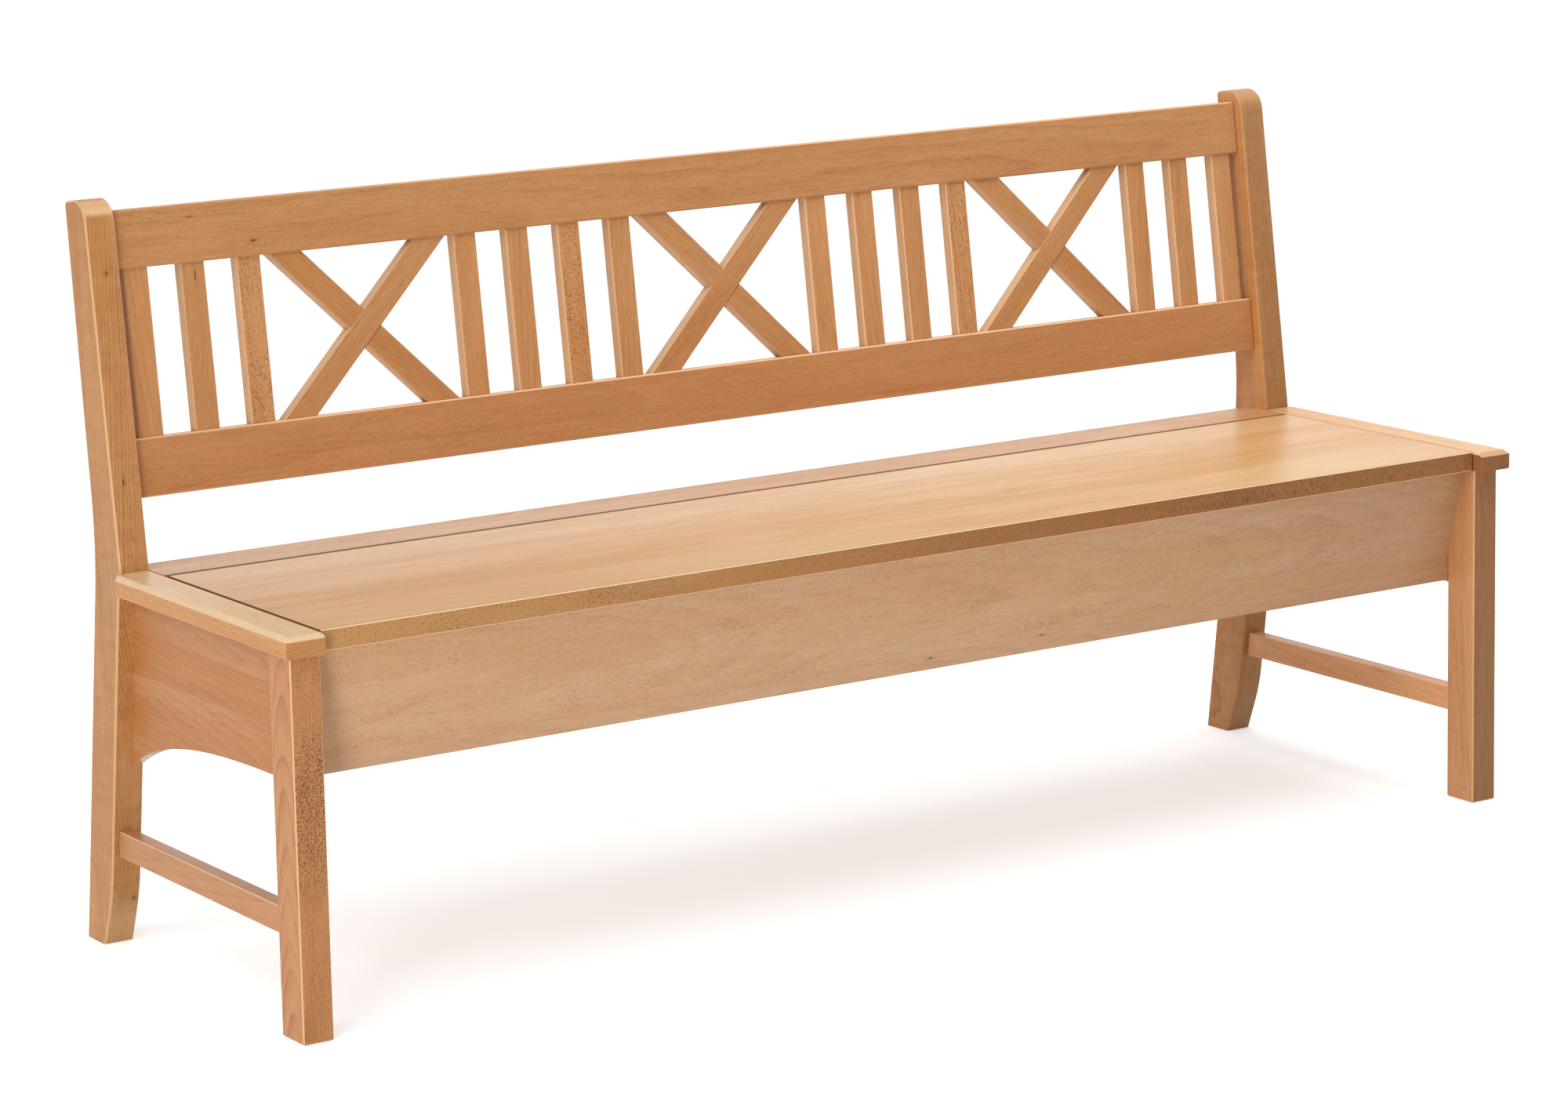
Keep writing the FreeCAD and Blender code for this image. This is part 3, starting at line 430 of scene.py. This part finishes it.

# Slats. Fourteen upright slats with chamfered edges, three, four, four and three,
# each stub-tenoned into both rails. Every slat comes from another board, so the figure
# changes: most are plain, the third is freckled and the sixth shows short rungs.
# Their left sides are coloured paler: painted light.
painted_light_side = (to_left, (1.16, 1.42, 1.85), *side_on)
lacy_slat = (0.85, 0.6, (0.0034, 0.0016, 0.012), to_face, [])
rungs = (0.7, 0.7, (0.0013, 0.0034, 0.012), to_face, [])
slat_dashes = {3: [lacy_slat], 6: [rungs], 9: [fine], 11: [lacy_slat], 13: [fine]}
slat_pins = {2: [((-0.7452, 0.2117, 0.8044), 0.009, 0.0012)]}
for number in range(1, 15):
    change = math.sin(number * 2.4)
    beech("back_slat_%02d" % number, upward, forward, 22 + number,
          tone=(203 + 4 * change, 150 + 4 * change, 100 + 4 * change),
          heart=(0.05 * change, -0.07 - 0.03 * math.cos(number * 1.7)), season=0.28,
          dashes=slat_dashes.get(number, []), marks=slat_pins.get(number, []), edge=0.35,
          sides=[painted_light_side])

# Crosses. Two bars each, halved into one another and mitred to the rails, the bar that
# rises to the right in front.
for number in (1, 2, 3):
    for bar, rises in (("front", 1.0), ("rear", -1.0)):
        bar_name = "cross_bar_%s_%d" % (bar, number)
        low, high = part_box(bar_name)
        tall = (high.z - low.z) / math.cos(backrest_lean)
        slope = math.atan2(tall, high.x - low.x)
        along = (rises * math.cos(slope), upward[1] * math.sin(slope), upward[2] * math.sin(slope))
        # The bars' left sides carry the same painted light.
        beech(bar_name, along, forward, 40 + number * 2 + rises, heart=(0.06 * rises, -0.06),
              tone=(197, 144, 95), edge=0.35, sides=[painted_light_side])

# Seat lid. Wide staves edge-glued to one board, tone changing from stave to stave, with
# dovetailed battens across its underside. Its front edge is freckled, and towards the right
# end the flecks stand upright.
to_front, to_edge = (0, -1, 0), (0, 1, 0)
speckles = (0.9, 0.5, (0.0034, 0.02, 0.0016), to_edge, [(lengthways, 0.45, 0.15)])
upright = (1.1, 0.6, (0.0014, 0.02, 0.0080), to_edge, [(lengthways, 0.15, 0.45)])
lid_low, lid_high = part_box("seat_lid")
lid_end, lid_rear = (lid_high.x - lid_low.x) / 2, (lid_high.y - lid_low.y) / 2
end_gone, end_full = 0.001, 0.0005
# Painted shade darkens the front edge towards the right end, and a painted sheen pales the top in the
# middle. The gaps behind and at the ends get painted shade.
painted_front_shade = (to_front, (0.67, 0.55, 0.44), *flat_on, (lengthways, -0.9, 0.35))
painted_sheen_middle = (to_face, (1.05, 1.14, 1.24), *flat_on, (lengthways, -0.6, -0.1), (lengthways, 0.9, 0.4))
beech("seat_lid", (1, 0, 0), (0, 0, 1), 60, tone=(204, 160, 110), heart=(0.02, -0.1),
      season=0.2, taper=0.006, edge=0.95, staves=(0.094, -0.182), drift=1.2, grain=0.45,
      gloss=0.36, dashes=[speckles, upright], sides=[painted_front_shade, painted_sheen_middle],
      marks=[((-0.2962, -0.035, 0.47), 0.003, 0.0012)],
      gaps=[(sideways, lid_rear - gap_gone, lid_rear - gap_full),
            (lengthways, lid_end - end_gone, lid_end - end_full),
            (lengthways, end_gone - lid_end, end_full - lid_end)])
for number in (1, 2, 3, 4):
    beech("lid_batten_%d" % number, (0, 1, 0), (0, 0, -1), 60 + number)

# Hinges. Three slim butt hinges of bronzed steel, leaves sunk flush in the 2.6 mm gap,
# with a loose pin each. The bronzing is rubbed brighter in patches and brushed lengthways.
steel, rolled = new_finish("bronzed steel")
surface_point = rolled.made("TexCoord", {}, {}, "Object")
brushed = surface_point.clouds((0.03, 0.0004, 0.0004), 3.0)
rubbed = surface_point.clouds((0.006, 0.004, 0.004), 2.0)
bronze = rolled.mixed(stain(112, 78, 54), stain(164, 124, 90), rubbed.fades(0.5, 0.8))
bronze = rolled.mixed(bronze, stain(74, 50, 36), brushed.fades(0.45, 0.7) * 0.5)
relief = {"Strength": 0.3, "Distance": 0.0002, "Height": brushed}
bronzing = {"Base Color": bronze, "Metallic": 0.85, "Roughness": brushed * 0.3 + 0.3,
            "Normal": rolled.made("Bump", {}, relief)}
rolled.made("OutputMaterial", {}, {"Surface": rolled.made("BsdfPrincipled", {}, bronzing)})
for node in bench:
    if node.startswith("hinge_"):
        put_on(node, steel)

# The studio. A seamless white floor keeps the bench's shadow. A broad light comes from the
# left and above, with one softbox overhead, a tall one at the left front for the edges, and
# weak lights behind the back and on the right.
floor_width, floor_drop = 60.0, 0.0005  # just under the feet
bpy.ops.object.select_all(action="DESELECT")
bpy.ops.mesh.primitive_plane_add(size=floor_width, location=(0, 0, -floor_drop))
floor = bpy.context.object
floor.name = "studio_floor"
paper, sheet = new_finish("white paper")
pure_white = (1.0, 1.0, 1.0, 1.0)


def seen_white(figure):
    """1 where the camera, a reflection or glass looks, 0 where light only bounces."""
    shown = figure.made("LightPath", {}, {}, "Is Camera Ray")
    for ray in ("Is Glossy Ray", "Is Transmission Ray"):
        shown = shown.at_least(figure.made("LightPath", {}, {}, ray))
    return shown


matt = {"Base Color": (0.85, 0.85, 0.85, 1.0), "Roughness": 0.9, "Specular IOR Level": 0.0}
lit = dict(matt, **{"Emission Color": pure_white, "Emission Strength": 0.5})
layers = {0: seen_white(sheet), 1: sheet.made("BsdfPrincipled", {}, matt),
          2: sheet.made("BsdfPrincipled", {}, lit)}
sheet.made("OutputMaterial", {}, {"Surface": sheet.made("MixShader", {}, layers)})
floor.data.materials.append(paper)


def lamp(name, kind, place, aim, power, **settings):
    light = bpy.data.lights.new(name, kind)
    light.energy = power
    for setting, value in settings.items():
        setattr(light, setting, value)
    holder = bpy.data.objects.new(name, light)
    bpy.context.scene.collection.objects.link(holder)
    holder.location = place
    holder.rotation_euler = (Vector(place) - Vector(aim)).to_track_quat("Z", "Y").to_euler()


seat = (0.0, 0.0, 0.45)
lamp("left light", "SUN", place=(-7.5, -2.0, 6.8), aim=seat, power=1.2, angle=math.radians(45))
lamp("back light", "SUN", place=(2.0, 7.0, 6.0), aim=seat, power=0.6, angle=math.radians(70))
lamp("right light", "SUN", place=(6.0, -3.0, 4.0), aim=seat, power=0.15, angle=math.radians(70))
lamp("overhead softbox", "AREA", place=(0.8, -0.2, 2.5), aim=(0.5, 0.0, 0.45), power=36.0,
     shape="RECTANGLE", size=2.6, size_y=1.4)
lamp("left front softbox", "AREA", place=(-2.7, -1.9, 0.55), aim=(-0.2, 0.0, 0.35), power=33.0,
     shape="RECTANGLE", size=0.7, size_y=1.5)

world = bpy.data.worlds.new("studio")
bpy.context.scene.world = world
world.use_nodes = True
world.node_tree.nodes.clear()
room = Figure(world.node_tree)
ambient = room.made("Background", {}, {"Color": pure_white, "Strength": 0.27})
white = room.made("Background", {}, {"Color": pure_white, "Strength": 1.0})
sky = room.made("MixShader", {}, {0: seen_white(room), 1: ambient, 2: white})
room.made("OutputWorld", {}, {"Surface": sky})
bpy.context.scene.view_settings.view_transform = "Standard"

# The camera stands left of the front and a little above the backrest, with a long lens.
# Its shift puts the bench where the photograph's frame has it.
view = bpy.data.cameras.new("camera")
view.sensor_width = 36.0
view.lens = 107.877
view.shift_x = 0.025
view.shift_y = -0.1
view.clip_end = 100.0
camera = bpy.data.objects.new("camera", view)
bpy.context.scene.collection.objects.link(camera)
camera.location = (-3.2387, -4.7797, 1.5872)
camera.rotation_euler = (math.radians(80.392), math.radians(1.1819), math.radians(-33.4499))
bpy.context.scene.camera = camera
